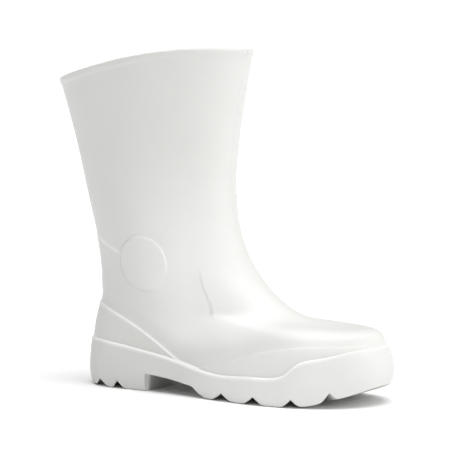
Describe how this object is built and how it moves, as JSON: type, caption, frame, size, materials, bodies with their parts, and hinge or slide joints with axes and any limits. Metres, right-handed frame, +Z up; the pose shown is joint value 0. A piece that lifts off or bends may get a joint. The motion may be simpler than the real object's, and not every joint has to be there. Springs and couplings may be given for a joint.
{
  "type": "rubber boot",
  "caption": "White moulded rubber work boot of mid-calf height, pull-on, with a cuffed open collar, raised counter and toe rand, and a lugged cup sole with heel.",
  "frame": {"origin": "on the ground, under the middle of the boot's box; z = 0 is the plane that heel and ball stand on", "axes": "+X towards the toe, +Y to the inner (medial) side of the foot, +Z up the shaft"},
  "size_m": [0.3332, 0.1184, 0.3033],
  "materials": {
    "upper_rubber": "moulded white rubber, semi-gloss",
    "sole_rubber": "moulded white rubber, satin",
    "liner_fabric": "knitted lining, matt"
  },
  "bodies": {
    "root": {"upper": "upper_rubber", "outsole": "sole_rubber", "insole": "liner_fabric"}
  },
  "joints": []
}
